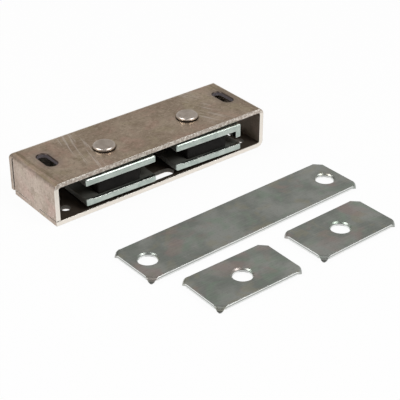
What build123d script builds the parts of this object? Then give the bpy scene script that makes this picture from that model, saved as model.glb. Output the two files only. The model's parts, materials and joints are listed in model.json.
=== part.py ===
from build123d import *
import os
from math import cos, radians, sin, sqrt

os.makedirs("parts", exist_ok=True)

# A magnetic catch for cabinet doors. Two magnet units swivel on rivets inside a folded steel
# case, and three loose steel strikes, one long and two short, lie in front of it.
# Sizes are millimetres. The origin is the middle of the case's base, X runs along the case,
# its open mouth faces -Y and +Z is up.

# Case, folded from one sheet
case_length = 117.1
case_depth = 37.6
case_height = 20.55
sheet = 2.1
bend_inside = 1.1  # inside radius of every fold
flap_gap = 1.1  # between the end walls and the back flap
flap_lift = 1.5  # from the base to the back flap's lower edge
seam = 0.3  # between the left end wall and the floor that it stands on
tab_width = 9.8  # locating tab of the left end wall

# Openings in the case
pattern_shift = 0.65  # all holes and rivets sit this far right of the case's middle
slot_length = 12.6
slot_width = 5.3  # passes the shank of a No. 10 wood screw
slot_edge = 0.35  # bevel round the slots on top
slot_from_end = 8.9  # from the case's end to its slot, before the shift
slot_from_mouth = 20.7
pilot_diameter = 4.7  # round screw holes in the floor
pilot_from_end = 8.9
pilot_from_mouth = 7.7
window_length = 15.2  # slot in the floor between the magnet units
window_width = 6.0
window_from_mouth = 5.35

# Rivets
rivet_spacing = 46.8
rivet_from_mouth = 14.8
shank_diameter = 5.0
head_diameter = 10.4
head_height = 1.6
head_round = 0.9  # of the flat head's upper edge
round_steps = 3  # flat steps that make up that rounding
head_relief = 0.25  # bevel under the head's rim
tail_diameter = 8.0  # flush tail, set into the floor
tail_angle = 90.0
rivet_fit = 0.05  # radial, in the case and in the spacers

# Magnet units
pole_length = 36.8
pole_thickness = 3.0
pole_proud = 1.15  # how far the pole faces stand out of the mouth when square to it
pole_behind = 16.3  # from the rivet to the poles' back edge
pole_corner = 0.8
pole_edge = 0.4
magnet_length = 22.2
magnet_width = 25.4
magnet_set_back = 2.0  # from the pole faces
magnet_edge = 0.5
bore_fit = 0.1  # radial, round the rivet's shank
bore_offset = 1.4  # of the bore from the middle of the unit's length
lug_width = 6.0
lug_height = 3.4
lip_width = 2.6
lip_height = 0.45
fold_root = 0.4  # inside radius of the poles' folds
left_swing = -1.5  # degrees about the rivet, with the right end forward
right_swing = -2.5

# Spacers on the rivets
spacer_diameter = 13.0
lower_spacer_thickness = 2.1
upper_spacer_thickness = 0.75
running_gap = 0.1  # between each spacer and the unit

# Strikes
strike_thickness = 1.7
long_strike_width = 25.6
long_hole_spacing = 101.6  # the long strike takes its length from this
long_hole_from_end = 8.15
short_strike_length = 43.6
short_strike_width = 24.6
strike_hole_diameter = 8.4
strike_sink_diameter = 9.7  # slight countersink on top
strike_sink_angle = 82.0
prong_leg = 3.7  # each corner is folded down across this much of both edges
prong_angle = 80.0
prong_tip = 0.9  # radius of the corner itself
prong_radius = 0.3  # inside radius of the fold
neutral_share = 0.42  # depth of the sheet's neutral layer in the fold
fold_steps = 4
long_strike_place = (6.3, -64.85)
long_strike_turn = 1.25
short_strike_places = ((-21.2, -98.5), (34.0, -97.75))
short_strike_turns = (0.0, 1.3)

bend_outside = bend_inside + sheet
wrap_depth = case_depth - sheet - flap_gap
mouth = Plane.XZ.offset(case_depth / 2)
left_face = Plane.YZ.offset(-case_length / 2)


def pattern_pair(spacing, from_mouth):
    """Two places this far apart along the case and the same distance behind its mouth."""
    y = from_mouth - case_depth / 2
    return (pattern_shift - spacing / 2, y), (pattern_shift + spacing / 2, y)


def rounded_rim(radius, height, rounding):
    """Points (radius, height) down the rounded upper edge of a round head, in flat steps."""
    turns = [radians(90) * step / round_steps for step in range(round_steps + 1)]
    return [
        (radius - rounding * (1 - sin(turn)), height - rounding * (1 - cos(turn)))
        for turn in turns
    ]


rivet_places = pattern_pair(rivet_spacing, rivet_from_mouth)


# Case: floor, right end, top and left end are one strip folded round, and the back is a flap
with BuildPart() as case:
    with BuildSketch(mouth) as wrap:
        with Locations((0, case_height / 2)):
            Rectangle(case_length, case_height)
        floor_end = wrap.vertices().sort_by(Axis.Y)[:2].sort_by(Axis.X)[0]
        folds = [corner for corner in wrap.vertices() if corner != floor_end]
        fillet(folds, bend_outside)
        offset(amount=-sheet, mode=Mode.SUBTRACT)
        with Locations(((sheet - case_length) / 2, sheet + seam / 2)):
            Rectangle(sheet, seam, mode=Mode.SUBTRACT)
    extrude(amount=-wrap_depth)

    # The top carries on past the end walls and folds down into the back flap
    with BuildSketch(left_face) as hood:
        with BuildLine():
            Polyline(
                (-case_depth / 2, case_height),
                (case_depth / 2, case_height),
                (case_depth / 2, flap_lift),
                (case_depth / 2 - sheet, flap_lift),
                (case_depth / 2 - sheet, case_height - sheet),
                (-case_depth / 2, case_height - sheet),
                close=True,
            )
        make_face()
        fillet(hood.vertices().sort_by_distance((case_depth / 2, case_height))[0], bend_outside)
        inner_corner = (case_depth / 2 - sheet, case_height - sheet)
        fillet(hood.vertices().sort_by_distance(inner_corner)[0], bend_inside)
    extrude(amount=case_length)

    # The flap's upper corners keep to the rounded outline of the case
    with BuildSketch(mouth) as outline:
        with Locations((0, case_height / 2)):
            Rectangle(case_length, case_height)
        fillet(outline.vertices().group_by(Axis.Y)[-1], bend_outside)
    extrude(amount=-case_depth, mode=Mode.INTERSECT)

    # The left end wall is keyed into the floor by a tab in a notch
    with BuildSketch(left_face):
        with Locations((0, (sheet + seam) / 2)):
            Rectangle(tab_width + 2 * seam, sheet + seam)
    extrude(amount=sheet + seam, mode=Mode.SUBTRACT)
    with BuildSketch(left_face):
        with Locations((0, (sheet + seam) / 2)):
            Rectangle(tab_width, sheet + seam)
    extrude(amount=sheet)

    # Screw slots through top and floor, with a small bevel on top
    with BuildSketch(Plane.XY.offset(case_height)):
        with Locations(*pattern_pair(case_length - 2 * slot_from_end, slot_from_mouth)):
            SlotOverall(slot_length, slot_width, rotation=90)
    extrude(amount=-case_height, mode=Mode.SUBTRACT)
    top_face = case.faces().sort_by(Axis.Z)[-1]
    chamfer(top_face.inner_wires().edges(), length=slot_edge)

    # Pilot holes near both ends of the floor, and the window between the units
    with BuildSketch(Plane.XY):
        with Locations(*pattern_pair(case_length - 2 * pilot_from_end, pilot_from_mouth)):
            Circle(pilot_diameter / 2)
        with Locations((pattern_shift, window_from_mouth - case_depth / 2)):
            SlotOverall(window_length, window_width)
    extrude(amount=sheet, mode=Mode.SUBTRACT)

    # Rivet holes, countersunk from below for the tails
    for x, y in rivet_places:
        with Locations(Plane(origin=(x, y, 0), z_dir=(0, 0, -1))):
            CounterSinkHole(
                radius=shank_diameter / 2 + rivet_fit,
                counter_sink_radius=tail_diameter / 2 + rivet_fit,
                depth=case_height,
                counter_sink_angle=tail_angle,
            )

case.part.label = "case"
export_step(case.part, "parts/case.step")


# Rivets: a flat head with a rounded edge on the top, a plain shank, and a tail flush with the base
for side, (x, y) in zip(("left", "right"), rivet_places):
    with BuildPart() as rivet:
        with BuildSketch(Plane(origin=(x, y, 0), x_dir=(1, 0, 0), z_dir=(0, -1, 0))):
            with BuildLine():
                Polyline(
                    (0, case_height + head_height),
                    *rounded_rim(head_diameter / 2, case_height + head_height, head_round),
                    (head_diameter / 2, case_height + head_relief),
                    (head_diameter / 2 - head_relief, case_height),
                    (shank_diameter / 2, case_height),
                    (shank_diameter / 2, (tail_diameter - shank_diameter) / 2),
                    (tail_diameter / 2, 0),
                    (0, 0),
                    close=True,
                )
            make_face()
        revolve(axis=Axis((x, y, 0), (0, 0, 1)))
    rivet.part.label = f"{side}_rivet"
    export_step(rivet.part, f"parts/{side}_rivet.step")


# Heights of the pieces on each rivet, from the floor up
lower_pole_z = sheet + lower_spacer_thickness + running_gap
magnet_z = lower_pole_z + pole_thickness
upper_spacer_z = case_height - sheet - upper_spacer_thickness
upper_pole_z = upper_spacer_z - running_gap - pole_thickness
magnet_thickness = upper_pole_z - magnet_z


def spacer(place, base, thickness):
    """A washer on a rivet, between the case and a magnet unit."""
    with BuildPart() as washer:
        with BuildSketch(Plane(origin=(*place, base))):
            Circle(spacer_diameter / 2)
            Circle(shank_diameter / 2 + rivet_fit, mode=Mode.SUBTRACT)
        extrude(amount=thickness)
    return washer.part


for side, place in zip(("left", "right"), rivet_places):
    lower_spacer = spacer(place, sheet, lower_spacer_thickness)
    lower_spacer.label = f"{side}_lower_spacer"
    export_step(lower_spacer, f"parts/{side}_lower_spacer.step")
    upper_spacer = spacer(place, upper_spacer_z, upper_spacer_thickness)
    upper_spacer.label = f"{side}_upper_spacer"
    export_step(upper_spacer, f"parts/{side}_upper_spacer.step")


# Magnet units, each a block magnet between two steel pole plates
pole_front = -rivet_from_mouth - pole_proud
pole_width = pole_behind - pole_front
pole_middle = (pole_front + pole_behind) / 2


def magnet_block(bench, middle):
    """The block magnet, bored for the rivet; middle is the unit's middle along the bench's X."""
    with BuildPart() as block:
        with BuildSketch(bench.offset(magnet_z)):
            with Locations((middle, pole_front + magnet_set_back + magnet_width / 2)):
                Rectangle(magnet_length, magnet_width)
        extrude(amount=magnet_thickness)
        chamfer(block.edges().filter_by(Axis.Z), length=magnet_edge)
        with Locations(bench.offset(magnet_z + magnet_thickness)):
            Hole(radius=shank_diameter / 2 + bore_fit, depth=magnet_thickness)
    return block.part


def pole_plate(bench, middle, base, fold_corner, fold_width, fold_height, inward):
    """A pole plate, bored for the rivet, with one corner of an end folded in toward the magnet.

    fold_corner is (1 or -1 along X, 1 or -1 along Y). inward is 1 where the magnet lies above
    the plate and -1 where it lies below.
    """
    toward_x, toward_y = fold_corner
    corner = (middle + toward_x * pole_length / 2, pole_middle + toward_y * pole_width / 2)
    fold_middle = (
        corner[0] - toward_x * pole_thickness / 2,
        corner[1] - toward_y * fold_width / 2,
    )
    inner_level = base + (pole_thickness if inward > 0 else 0)
    with BuildPart() as plate:
        with BuildSketch(bench.offset(base)) as blank:
            with Locations((middle, pole_middle)):
                Rectangle(pole_length, pole_width)
            fillet(blank.vertices(), pole_corner)
        extrude(amount=pole_thickness)
        outer_face = plate.faces().sort_by(Axis.Z)[-1 if inward < 0 else 0]
        chamfer(outer_face.edges(), length=pole_edge)
        with BuildSketch(bench.offset(inner_level)) as fold:
            with Locations(fold_middle):
                Rectangle(pole_thickness, fold_width)
            fillet(fold.vertices().sort_by_distance(corner)[0], pole_corner)
        extrude(amount=inward * fold_height)
        root = (corner[0] - toward_x * pole_thickness, fold_middle[1], inner_level)
        root_edge = plate.edges().sort_by_distance(bench.from_local_coords(root))[0]
        fillet(root_edge, fold_root)
        with Locations(bench.offset(base + pole_thickness)):
            Hole(radius=shank_diameter / 2 + bore_fit, depth=pole_thickness)
    return plate.part


# The left unit is the right one turned end for end, but for its lower plate's lip
unit_rows = (
    ("left", rivet_places[0], -bore_offset, left_swing, (-1, 1)),
    ("right", rivet_places[1], bore_offset, right_swing, (1, -1)),
)
for side, place, middle, swing, lug_corner in unit_rows:
    bench = Plane(origin=(*place, 0), x_dir=(cos(radians(swing)), sin(radians(swing)), 0))
    magnet = magnet_block(bench, middle)
    magnet.label = f"{side}_magnet"
    export_step(magnet, f"parts/{side}_magnet.step")
    upper_pole = pole_plate(bench, middle, upper_pole_z, lug_corner, lug_width, lug_height, -1)
    upper_pole.label = f"{side}_upper_pole"
    export_step(upper_pole, f"parts/{side}_upper_pole.step")
    lower_pole = pole_plate(bench, middle, lower_pole_z, (-1, -1), lip_width, lip_height, 1)
    lower_pole.label = f"{side}_lower_pole"
    export_step(lower_pole, f"parts/{side}_lower_pole.step")


# Strikes: flat plates whose corners are folded down on the diagonal into prongs.
# They lie on the points of the prongs, which sets the height of the plate.
fold_angle = radians(prong_angle)
fold_length = prong_leg * sqrt(2)
fold_run = (prong_radius + neutral_share * strike_thickness) * fold_angle
leaf_reach = prong_leg / sqrt(2) - fold_run
tip_reach = leaf_reach - prong_tip * (sqrt(2) - 1)
fold_drop = (prong_radius + strike_thickness) * (1 - cos(fold_angle))
strike_top = fold_drop + tip_reach * sin(fold_angle) + strike_thickness * cos(fold_angle)
strike_base = strike_top - strike_thickness


def strike(bench, length, width, hole_places):
    """A strike plate lying on its prongs on the bench plane."""
    with BuildPart() as plate:
        with BuildSketch(bench.offset(strike_base)) as blank:
            Rectangle(length, width)
            chamfer(blank.vertices(), length=prong_leg)
        extrude(amount=strike_thickness)

        for turn, (toward_x, toward_y) in zip((45, 135, 225, 315), ((1, 1), (-1, 1), (-1, -1), (1, -1))):
            fold_x = toward_x * (length - prong_leg) / 2
            fold_y = toward_y * (width - prong_leg) / 2
            hub = bench.location * Location((fold_x, fold_y, strike_base - prong_radius), (0, 0, turn))
            # The fold narrows as it turns, because the corner is a triangle
            for step in range(fold_steps + 1):
                share = step / fold_steps
                section = Plane(hub * Rot(0, prong_angle * share, 0) * Plane.YZ.location)
                with BuildSketch(section):
                    with Locations((0, prong_radius + strike_thickness / 2)):
                        Rectangle(fold_length - 2 * fold_run * share, strike_thickness)
            loft(ruled=True)
            with BuildSketch(Plane(hub * Rot(0, prong_angle, 0) * Pos(0, 0, prong_radius))) as leaf:
                with BuildLine():
                    Polyline((0, -leaf_reach), (0, leaf_reach), (leaf_reach, 0), close=True)
                make_face()
                fillet(leaf.vertices().sort_by(Axis.X)[-1], prong_tip)
            extrude(amount=strike_thickness)

        with Locations(bench.offset(strike_top)):
            with Locations(*hole_places):
                CounterSinkHole(
                    radius=strike_hole_diameter / 2,
                    counter_sink_radius=strike_sink_diameter / 2,
                    counter_sink_angle=strike_sink_angle,
                )
    return plate.part


def strike_bench(place, turn):
    """The table plane under a strike, turned with it."""
    return Plane(origin=(*place, 0), x_dir=(cos(radians(turn)), sin(radians(turn)), 0))


long_holes = ((-long_hole_spacing / 2, 0), (long_hole_spacing / 2, 0))
long_bench = strike_bench(long_strike_place, long_strike_turn)
long_length = long_hole_spacing + 2 * long_hole_from_end
long_strike = strike(long_bench, long_length, long_strike_width, long_holes)
long_strike.label = "long_strike"
export_step(long_strike, "parts/long_strike.step")

for side, place, turn in zip(("left", "right"), short_strike_places, short_strike_turns):
    bench = strike_bench(place, turn)
    short_strike = strike(bench, short_strike_length, short_strike_width, ((0, 0),))
    short_strike.label = f"{side}_short_strike"
    export_step(short_strike, f"parts/{side}_short_strike.step")
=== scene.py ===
import json
import math

import bpy
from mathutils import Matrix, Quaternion, Vector


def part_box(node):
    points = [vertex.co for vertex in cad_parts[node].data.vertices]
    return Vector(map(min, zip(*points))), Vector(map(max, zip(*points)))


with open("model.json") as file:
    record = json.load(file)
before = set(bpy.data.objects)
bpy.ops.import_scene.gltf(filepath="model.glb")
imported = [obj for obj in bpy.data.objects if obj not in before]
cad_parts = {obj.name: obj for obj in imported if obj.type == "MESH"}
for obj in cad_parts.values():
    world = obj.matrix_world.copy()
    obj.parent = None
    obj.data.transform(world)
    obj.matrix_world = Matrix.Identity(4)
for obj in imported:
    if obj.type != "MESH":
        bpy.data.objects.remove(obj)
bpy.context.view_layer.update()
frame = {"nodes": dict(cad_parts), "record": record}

# Objects, lamps and the camera are placed in metres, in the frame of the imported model. Finishes
# measure in millimetres.

MM = 0.001


def paint(red, green, blue):
    """A colour given as 0 to 255 a channel, in the linear values that a shader takes."""
    def linear(channel):
        share = channel / 255
        return share / 12.92 if share <= 0.04045 else ((share + 0.055) / 1.055) ** 2.4
    return (linear(red), linear(green), linear(blue), 1.0)


class Value:
    """One socket of a node tree. Arithmetic on it adds the Math nodes."""

    def __init__(self, wiring, socket):
        self.wiring = wiring
        self.socket = socket

    def math(self, operation, *terms):
        """One Math node on these terms."""
        return self.wiring.node("ShaderNodeMath", {"operation": operation}, dict(enumerate(terms)))

    def __add__(self, other):
        return self.math("ADD", self, other)

    def __radd__(self, other):
        return self.math("ADD", other, self)

    def __sub__(self, other):
        return self.math("SUBTRACT", self, other)

    def __rsub__(self, other):
        return self.math("SUBTRACT", other, self)

    def __mul__(self, other):
        return self.math("MULTIPLY", self, other)

    def __rmul__(self, other):
        return self.math("MULTIPLY", other, self)

    def size(self):
        """The value without its sign."""
        return self.math("ABSOLUTE", self)

    def root(self):
        return self.math("SQRT", self)

    def limited(self):
        """The value, but never over 1."""
        return self.math("MINIMUM", self, 1.0)

    def from_zero(self):
        """The value, but never under 0."""
        return self.math("MAXIMUM", self, 0.0)

    def between(self, low, high):
        """0 at low and 1 at high, with a soft step between them, which falls if low is above high."""
        return self.wiring.node("ShaderNodeMapRange", {"interpolation_type": "SMOOTHSTEP"}, {
            "Value": self, "From Min": low, "From Max": high, "To Min": 0.0, "To Max": 1.0})


class Wiring:
    """A node tree, and the few ways in which nodes are added to it."""

    def __init__(self, owner):
        owner.use_nodes = True
        self.tree = owner.node_tree
        self.tree.nodes.clear()

    def node(self, kind, settings=None, inputs=None, output=0):
        """Adds a node, makes its settings, and then gives its sockets their values or links."""
        made = self.tree.nodes.new(kind)
        for name, setting in (settings or {}).items():
            setattr(made, name, setting)
        for key, given in (inputs or {}).items():
            if isinstance(given, Value):
                self.tree.links.new(given.socket, made.inputs[key])
            else:
                made.inputs[key].default_value = given
        return Value(self, made.outputs[output]) if len(made.outputs) else None

    def parts_of(self, vector):
        """The three parts of a direction or place."""
        return [self.node("ShaderNodeSeparateXYZ", inputs={0: vector}, output=axis) for axis in range(3)]

    def mixed(self, share, first, second, how="MIX"):
        """The first colour where share is 0 and the second where it is 1."""
        return self.node("ShaderNodeMix", {"data_type": "RGBA", "blend_type": how},
                         {0: share, 6: first, 7: second}, output=2)

    def layered(self, colour, *layers):
        """A colour with others laid over it in turn, each a share and its colour."""
        for share, laid in layers:
            colour = self.mixed(share, colour, laid)
        return colour


class Finish(Wiring):
    """A material, with the kinds of pattern that surfaces share, sized in millimetres."""

    def __init__(self, name):
        self.material = bpy.data.materials.new(name)
        super().__init__(self.material)
        self.place = self.node("ShaderNodeTexCoord", output="Object")
        self.facing = self.node("ShaderNodeNewGeometry", output="Normal")

    def position(self):
        """Where a point is, in millimetres."""
        return [part * 1000.0 for part in self.parts_of(self.place)]

    def noise(self, feature, detail=3.0, roughness=0.55, stretch=(1.0, 1.0, 1.0), offset=0.0,
              warp=0.0):
        """Cloudy noise from 0 to 1, in patches about feature millimetres across times stretch."""
        spot = self.node("ShaderNodeMapping", inputs={
            "Vector": self.place,
            "Location": (offset, offset * 1.7, offset * 0.6),
            "Scale": [1.0 / (feature * MM * longer) for longer in stretch]})
        return self.node("ShaderNodeTexNoise", {"noise_dimensions": "3D"}, {
            "Vector": spot, "Scale": 1.0, "Detail": detail, "Roughness": roughness,
            "Distortion": warp})

    def away_from(self, places, straight=0.0):
        """How far a point is in plan from the nearer of two places side by side, in millimetres.

        straight is the length along Y of the line that stands at each place instead of a point.
        """
        (left, across), (right, _) = places
        x, y, _ = self.position()
        along_x = (x - (left + right) / 2).size() - (right - left) / 2
        along_y = ((y - across).size() - straight / 2).from_zero()
        return (along_x * along_x + along_y * along_y).root()

    def scratches(self, spacing, length, turn, share, offset=0.0):
        """Thin scratches, turn degrees round from X in plan, on about this share of the plate."""
        turned = self.node("ShaderNodeMapping", inputs={
            "Vector": self.place, "Rotation": (0.0, 0.0, math.radians(-turn))})
        spot = self.node("ShaderNodeMapping", inputs={
            "Vector": turned,
            "Location": (offset, offset, offset),
            "Scale": (1.0 / (length * MM), 1.0 / (spacing * MM), 1.0 / (spacing * MM))})
        ridge = self.node("ShaderNodeTexNoise", {"noise_dimensions": "3D"}, {
            "Vector": spot, "Scale": 1.0, "Detail": 2.0, "Roughness": 0.5, "Distortion": 0.15})
        return ridge.between(1.0 - share - 0.03, 1.0 - share + 0.03)

    def edges(self, radius):
        """1 along sharp edges and 0 on the flat, and the normal that rounds those edges off."""
        rounded = self.node("ShaderNodeBevel", {"samples": 6}, {"Radius": radius * MM})
        match = self.node("ShaderNodeVectorMath", {"operation": "DOT_PRODUCT"},
                          {0: rounded, 1: self.facing}, output="Value")
        return (1.0 - match).between(0.01, 0.2), rounded

    def bump(self, height, depth, normal):
        """A normal that follows height as a relief, depth millimetres deep for 1, on top of normal."""
        return self.node("ShaderNodeBump", inputs={
            "Height": height, "Distance": depth * MM, "Normal": normal})

    def surface(self, **sockets):
        """Ends the finish in one shader with these sockets, and gives the material."""
        shader = self.node("ShaderNodeBsdfPrincipled", inputs={
            name.replace("_", " "): given for name, given in sockets.items()})
        self.node("ShaderNodeOutputMaterial", inputs={"Surface": shader})
        return self.material


# ---------------------------------------------------------------- camera

eye = Vector((-0.27449, -0.39061, 0.27544))
aim = Vector((0.00356, -0.03972, 0.0))
roll = math.radians(0.09)

camera_data = bpy.data.cameras.new("camera")
camera_data.sensor_width = 36.0
camera_data.sensor_fit = "HORIZONTAL"
camera_data.lens = 105.80
camera_data.clip_start = 0.01
camera_data.clip_end = 20.0
camera = bpy.data.objects.new("camera", camera_data)
camera.location = eye
camera.rotation_mode = "QUATERNION"
camera.rotation_quaternion = (aim - eye).to_track_quat("-Z", "Y") @ Quaternion((0.0, 0.0, 1.0), roll)
bpy.context.scene.collection.objects.link(camera)
bpy.context.scene.camera = camera

# ---------------------------------------------------------------- finishes

SHEET = 2.1  # thickness of the case's sheet
BEND = 3.2  # outside radius of its bends
SLOT_STRAIGHT = 7.3  # length of a screw slot's straight sides
SLOT_REACH = 3.0  # from a slot's middle line to the outside of its bevel

mounts = {mount["name"]: Vector(mount["pos_m"]) / MM for mount in frame["record"]["mounts"]}
slots = [tuple(mounts[name].xy) for name in ("left_screw_slot", "right_screw_slot")]
rivets = []
for name in ("left_rivet", "right_rivet"):
    low, high = (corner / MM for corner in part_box(name))
    rivets.append(tuple(((low + high) / 2).xy))
    head_radius = (high.x - low.x) / 2
case_low, case_high = (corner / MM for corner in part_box("case"))
strike_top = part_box("long_strike")[1].z / MM


def case_steel():
    """Dull nickel plate on the folded case, cloudy and scuffed, and bright where it was cut, with
    painted shade inside and round the rivets and slot bevels, and painted highlights along its edges.
    """
    finish = Finish("case_steel")
    x, y, z = finish.position()
    sideways, _, upward = finish.parts_of(finish.facing)
    on_top = upward.between(0.7, 0.9)
    from_end = case_high.x - x.size()
    from_mouth = y - case_low.y
    from_back = case_high.y - y
    from_top = case_high.z - z
    from_slots = finish.away_from(slots, straight=SLOT_STRAIGHT)
    from_rivets = finish.away_from(rivets)
    edge_line, rounded = finish.edges(0.3)

    # The plating's own colours and grain
    cloud = finish.noise(20.0, detail=4.0)
    tint = finish.noise(11.0, detail=3.0, offset=6.0, warp=0.5)
    stain = finish.noise(5.0, detail=3.0, offset=2.0, warp=0.4)
    speckle = finish.noise(1.4, detail=4.0, roughness=0.72)
    grain = finish.noise(0.5, detail=2.0, stretch=(14.0, 1.0, 1.0))
    flecks = finish.noise(0.9, detail=3.0, roughness=0.7, stretch=(1.6, 1.0, 1.0), offset=4.0)
    pits = finish.noise(0.8, detail=3.0, roughness=0.7, offset=9.0)
    plate = finish.layered(
        finish.mixed(cloud.between(0.36, 0.66), paint(180, 163, 148), paint(210, 195, 181)),
        (tint.between(0.5, 0.68) * 0.6, paint(208, 178, 167)),
        (tint.between(0.48, 0.32) * 0.5, paint(190, 180, 152)),
        (stain.between(0.5, 0.68) * 0.5, paint(156, 138, 120)),
        (speckle.between(0.52, 0.72) * 0.6, paint(140, 122, 108)),
        (speckle.between(0.47, 0.28) * 0.6, paint(232, 219, 206)),
        (grain.between(0.4, 0.7) * 0.25, paint(222, 209, 198)),
        (flecks.between(0.6, 0.68) * 0.5, paint(238, 228, 217)),
        (pits.between(0.62, 0.7) * 0.55, paint(112, 98, 86)))
    # Painted shade by facing: side faces are darkened, and top faces tinted a little warmer.
    plate = finish.mixed(upward.between(0.5, 0.9), plate, paint(254, 250, 240), how="MULTIPLY")
    plate = finish.mixed(sideways.size().between(0.5, 0.9) * 0.6, plate, paint(232, 228, 226),
                         how="MULTIPLY")

    # The bends have drawn the plate into streaks that run along them
    streaks = finish.noise(1.2, detail=3.0, stretch=(1.0, 16.0, 1.0), offset=3.0).between(0.4, 0.66)
    near_end = from_end.between(10.0, 3.0) * upward.between(0.1, 0.6)

    # Screwdrivers have slipped beside the rivets, and fine hairs lie here and there
    left_scuffs = (finish.scratches(0.8, 15.0, 76.0, 0.42)
                   * (x - (rivets[0][0] - 9.0)).size().between(6.5, 4.0))
    right_scuffs = (finish.scratches(0.8, 15.0, 114.0, 0.42, offset=3.0)
                    * (x - (rivets[1][0] + 11.0)).size().between(7.0, 4.0))
    hairs = (finish.scratches(0.35, 14.0, 24.0, 0.34, offset=5.0)
             * finish.noise(17.0, offset=5.0).between(0.46, 0.6))
    marks = ((left_scuffs + right_scuffs + hairs * 0.7) * on_top).limited()

    # The sheet's inner faces and the walls of its openings: within its outer faces and bends
    inside = ((from_end + from_top).between(BEND + 0.2, BEND + 0.6)
              * (from_back + from_top).between(BEND + 0.2, BEND + 0.6)
              * (from_end + z).between(BEND + 0.2, BEND + 0.6)
              * from_end.between(0.8, 1.2) * from_mouth.between(0.5, 0.9)
              * from_back.between(0.8, 1.2) * from_top.between(0.35, 0.55) * z.between(0.1, 0.3))
    slot_walls = inside * from_top.between(SHEET - 0.1, SHEET - 0.2)
    floor_walls = inside * z.between(SHEET - 0.1, SHEET - 0.2)
    flap_inside = inside * from_back.between(SHEET + 0.2, SHEET + 0.1)
    floor_inside = inside * z.between(SHEET + 0.9, SHEET + 0.3)
    shaded_slot_bevels = from_slots.between(SLOT_REACH + 0.2, SLOT_REACH) * (1.0 - slot_walls)

    # The cut edges are bright, and patchy along the top. All edges are lightened, partly by rubbed wear
    # and partly as a painted highlight.
    patches = finish.noise(1.3, detail=3.0, roughness=0.65, offset=8.0).between(0.72, 0.36)
    along_top = from_top.between(3.0, 2.0)
    cut_edge = finish.mixed(patches * along_top * 0.85, paint(240, 233, 223), paint(158, 143, 131))
    edge_sheen_and_wear = edge_line * (0.3 + stain.between(0.4, 0.6) * 0.6)

    plate = finish.layered(
        plate,
        (streaks * near_end * 0.6, paint(146, 132, 104)),
        (marks * 0.55, paint(240, 230, 220)),
        # Painted shadow: a dark ring on the top round each rivet head.
        (from_rivets.between(head_radius + 0.7, head_radius) * on_top * 0.7, paint(74, 64, 56)),
        (from_slots.between(6.5, SLOT_REACH) * on_top * 0.3, paint(140, 126, 128)),
        (from_mouth.between(0.25, 0.05), cut_edge),
        # Edges lightened: partly rubbed wear, partly painted highlight.
        (edge_sheen_and_wear * (1.0 - shaded_slot_bevels), paint(250, 247, 241)),
        # Painted shade: the slots' bevels are darkened.
        (shaded_slot_bevels, paint(86, 76, 71)),
        # Painted shade: the inner faces are darkened, and the floor inside most of all.
        (inside * 0.5, paint(150, 138, 124)),
        (floor_inside, paint(96, 86, 76)),
        (floor_walls, paint(100, 96, 90)),
        (slot_walls, paint(128, 121, 126)),
        (flap_inside, paint(168, 162, 152)))
    roughness = 0.3 + cloud * 0.1 + speckle * 0.14 - edge_sheen_and_wear * 0.06 + inside * 0.2
    metallic = 1.0 - inside * 0.35 - (slot_walls + flap_inside) * 0.45
    relief = finish.bump(speckle * 0.5 + grain * 0.5 - marks * 0.7, 0.014, rounded)
    return finish.surface(Base_Color=plate, Metallic=metallic, Roughness=roughness, Normal=relief)


def pole_steel():
    """Bright steel on the pole plates, ground along them, with painted highlights along their edges and
    painted shade inside the case, where they are also duller.
    """
    finish = Finish("pole_steel")
    _, y, _ = finish.position()
    edge_line, rounded = finish.edges(0.4)
    grinding = finish.noise(0.28, detail=3.0, stretch=(30.0, 1.0, 1.0))
    cloud = finish.noise(5.0, detail=4.0, offset=2.0)
    mottle = finish.noise(0.9, detail=3.0, roughness=0.7, offset=5.0)
    spots = finish.noise(1.1, detail=3.0, roughness=0.7, offset=7.0).between(0.64, 0.74)
    within = (y - case_low.y).between(0.1, 0.9)
    plate = finish.layered(
        finish.mixed(cloud.between(0.35, 0.65), paint(160, 173, 166), paint(188, 198, 191)),
        (mottle.between(0.5, 0.72) * 0.4, paint(150, 160, 152)),
        (grinding.between(0.35, 0.7) * 0.35, paint(214, 220, 213)),
        (spots * 0.5, paint(112, 110, 100)),
        # Painted highlights along the edges.
        (edge_line * 0.8, paint(250, 251, 247)),
        # Painted shade on the parts inside the case.
        (within * 0.85, paint(96, 92, 85)))
    metallic = 1.0 - within * 0.4
    roughness = 0.26 + cloud * 0.12 + spots * 0.15 + within * 0.3
    relief = finish.bump(grinding * 0.6 + mottle * 0.4, 0.01, rounded)
    return finish.surface(Base_Color=plate, Metallic=metallic, Roughness=roughness, Normal=relief)


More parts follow.
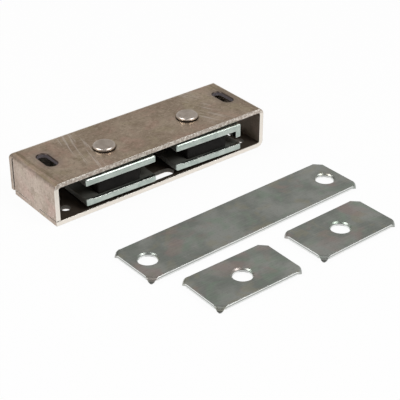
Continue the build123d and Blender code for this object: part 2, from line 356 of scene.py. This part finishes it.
def strike_steel():
    """Zinc plate on the strikes, tinted by its wash, with bright sheared edges, and painted shade and
    light on the folded corners and rounded edges.
    """
    finish = Finish("strike_steel")
    _, _, z = finish.position()
    sideways, forward, upward = finish.parts_of(finish.facing)
    from_top = strike_top - z
    edge_line, rounded = finish.edges(0.45)
    cloud = finish.noise(15.0, detail=4.0, offset=1.0)
    wash = finish.noise(10.0, detail=2.0, offset=4.0, warp=0.6)
    blush = finish.noise(13.0, detail=2.0, offset=9.0, warp=0.4)
    speckle = finish.noise(0.9, detail=4.0, roughness=0.7)
    rolling = finish.noise(0.5, detail=2.0, stretch=(18.0, 1.0, 1.0), offset=6.0)
    hairs = (finish.scratches(0.4, 12.0, -12.0, 0.3, offset=2.0)
             * finish.noise(15.0, offset=3.0).between(0.46, 0.6))

    # Where the shear's clean cut ends and the metal tore, a dull line runs along the edge
    sheared = upward.size().between(0.35, 0.1)
    torn = sheared * from_top.between(0.45, 0.6) * from_top.between(1.15, 1.0)

    # The folded corners face both ways at once. Their bends carry painted shade, lightening to a painted
    # reflection towards the tips.
    prong_shading = ((sideways.size() * forward.size()).between(0.24, 0.38) * upward.between(0.6, 0.4)
              * from_top.between(1.1, 1.7))
    prong_shade_and_sheen = finish.mixed(from_top.between(2.4, 3.4), paint(70, 71, 66), paint(214, 216, 212))

    plate = finish.layered(
        finish.mixed(cloud.between(0.38, 0.64), paint(156, 162, 156), paint(186, 190, 185)),
        (wash.between(0.5, 0.7) * 0.55, paint(162, 184, 165)),
        (wash.between(0.46, 0.32) * 0.45, paint(184, 180, 156)),
        (blush.between(0.52, 0.68) * 0.5, paint(192, 168, 164)),
        (rolling.between(0.45, 0.7) * 0.25, paint(204, 206, 202)),
        (speckle.between(0.52, 0.74) * 0.45, paint(128, 132, 126)),
        (hairs * 0.45, paint(216, 218, 214)),
        (sheared * 0.85, paint(244, 246, 244)),
        (torn * 0.75, paint(128, 130, 126)),
        (prong_shading * 0.9, prong_shade_and_sheen),
        # Painted reflection along the rounded edges: a dark line where they turn up to the top, and
        # bright highlights where they face sideways.
        (edge_line * upward.between(0.75, 0.95) * 0.7, paint(96, 98, 92)),
        (edge_line * upward.between(0.6, 0.3) * 0.6, paint(252, 252, 250)))
    roughness = 0.26 + cloud * 0.1 + speckle * 0.12
    relief = finish.bump(speckle * 0.7 + rolling * 0.3 - hairs * 0.5, 0.01, rounded)
    return finish.surface(Base_Color=plate, Metallic=1.0, Roughness=roughness, Normal=relief)


def rivet_steel():
    """Plated steel of the rivets, pressed smooth, with a painted highlight round their rims and painted
    shadow in the crevice under them.
    """
    finish = Finish("rivet_steel")
    _, _, z = finish.position()
    edge_line, rounded = finish.edges(0.35)
    cloud = finish.noise(4.0, detail=4.0, offset=2.0)
    speckle = finish.noise(0.6, detail=3.0, roughness=0.7)
    rim_highlight = finish.away_from(rivets).between(head_radius - 1.5, head_radius - 0.7)
    shade_under_head = (z - case_high.z).between(0.65, 0.45)
    plate = finish.layered(
        finish.mixed(cloud.between(0.35, 0.65), paint(192, 180, 168), paint(214, 203, 192)),
        (speckle.between(0.56, 0.78) * 0.45, paint(150, 136, 124)),
        # Painted highlight round the rim of each head, and painted shadow in the crevice under it.
        (rim_highlight * 0.35, paint(240, 232, 224)),
        (shade_under_head, paint(40, 34, 30)))
    roughness = 0.26 + cloud * 0.1 + speckle * 0.1
    relief = finish.bump(speckle, 0.01, rounded)
    return finish.surface(Base_Color=plate, Metallic=1.0, Roughness=roughness, Normal=relief)


def spacer_brass():
    """Brass of the washers on the rivets, tarnished brown inside the case."""
    finish = Finish("spacer_brass")
    edge_line, rounded = finish.edges(0.2)
    cloud = finish.noise(3.0, detail=4.0)
    tarnish = finish.noise(0.8, detail=4.0, roughness=0.7, offset=2.0)
    metal = finish.layered(
        finish.mixed(cloud.between(0.35, 0.65), paint(150, 118, 72), paint(128, 98, 60)),
        (tarnish.between(0.5, 0.75) * 0.6, paint(84, 62, 42)),
        (edge_line * 0.5, paint(198, 168, 112)))
    roughness = 0.38 + tarnish * 0.2
    relief = finish.bump(tarnish, 0.015, rounded)
    return finish.surface(Base_Color=metal, Metallic=1.0, Roughness=roughness, Normal=relief)


def ferrite():
    """Sintered ferrite of the magnets: near black, faintly grained and chipped at its edges."""
    finish = Finish("ferrite")
    edge_line, rounded = finish.edges(0.3)
    cloud = finish.noise(5.0, detail=4.0)
    grit = finish.noise(0.35, detail=4.0, roughness=0.75)
    chips = edge_line * finish.noise(1.2, detail=3.0, offset=4.0).between(0.5, 0.65)
    body = finish.layered(
        finish.mixed(cloud.between(0.35, 0.65), paint(26, 25, 24), paint(35, 33, 32)),
        (grit.between(0.6, 0.8) * 0.5, paint(60, 58, 56)),
        (chips, paint(88, 84, 80)))
    roughness = 0.62 + grit * 0.2
    relief = finish.bump(grit - chips * 0.6, 0.03, rounded)
    return finish.surface(Base_Color=body, Roughness=roughness, Specular_IOR_Level=0.15,
                          Normal=relief)


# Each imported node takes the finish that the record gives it.
finishes = {
    "case_steel": case_steel(),
    "pole_steel": pole_steel(),
    "strike_steel": strike_steel(),
    "rivet_steel": rivet_steel(),
    "spacer_brass": spacer_brass(),
    "ferrite": ferrite(),
}
for part in frame["record"]["subparts"]:
    materials = frame["nodes"][part["node"]].data.materials
    materials.clear()
    materials.append(finishes[part["material_slot"]])

# ---------------------------------------------------------------- floor and light

FLOOR_REACH = 3.0  # from the middle of the floor to its edges
LAMP_TARGET = Vector((0.0, -0.04, 0.0))
LAMP_SIZE = 0.5
LAMP_POWER = 6.0


def floor_white():
    """A white table that keeps a soft shadow."""
    finish = Finish("floor_white")
    camera_ray, glossy_ray, clear_ray = (
        finish.node("ShaderNodeLightPath", output=ray)
        for ray in ("Is Camera Ray", "Is Glossy Ray", "Is Transmission Ray"))
    seen = (camera_ray + glossy_ray + clear_ray).limited()
    matt = finish.node("ShaderNodeBsdfDiffuse", inputs={"Color": paint(240, 240, 240)})
    glow = finish.node("ShaderNodeEmission", inputs={"Color": paint(255, 255, 255), "Strength": 1.0})
    both = finish.node("ShaderNodeMixShader", inputs={0: seen * 0.95, 1: matt, 2: glow})
    finish.node("ShaderNodeOutputMaterial", inputs={"Surface": both})
    return finish.material


def soft_lamp(name, place):
    """A square soft lamp at place that faces the middle of the table."""
    data = bpy.data.lights.new(name, "AREA")
    data.shape = "SQUARE"
    data.size = LAMP_SIZE
    data.energy = LAMP_POWER
    lamp = bpy.data.objects.new(name, data)
    lamp.location = place
    lamp.rotation_mode = "QUATERNION"
    lamp.rotation_quaternion = (LAMP_TARGET - Vector(place)).to_track_quat("-Z", "Y")
    bpy.context.scene.collection.objects.link(lamp)


floor_mesh = bpy.data.meshes.new("floor")
floor_corners = [(FLOOR_REACH * across, FLOOR_REACH * along, 0.0)
                 for across, along in ((-1, -1), (1, -1), (1, 1), (-1, 1))]
floor_mesh.from_pydata(floor_corners, [], [(0, 1, 2, 3)])
floor_mesh.materials.append(floor_white())
floor = bpy.data.objects.new("floor", floor_mesh)
bpy.context.scene.collection.objects.link(floor)

soft_lamp("left_lamp", (-0.77, 0.18, 0.91))
soft_lamp("right_lamp", (0.35, -0.70, 0.91))

# The room is darker overhead and on the camera's side than behind the table.
world = bpy.data.worlds.new("room")
room = Wiring(world)
toward_x, toward_y, upward = room.parts_of(room.node("ShaderNodeTexCoord", output="Generated"))
behind = (toward_x * 0.62 + toward_y * 0.78).between(-0.3, 0.5)
level = 0.21 + 0.26 * behind * upward.between(0.95, 0.6)
walls = room.mixed(level, paint(0, 0, 0), paint(255, 252, 249))
backdrop = room.node("ShaderNodeBackground", inputs={"Color": walls, "Strength": 1.0})
room.node("ShaderNodeOutputWorld", inputs={"Surface": backdrop})
bpy.context.scene.world = world

bpy.context.scene.view_settings.view_transform = "Standard"
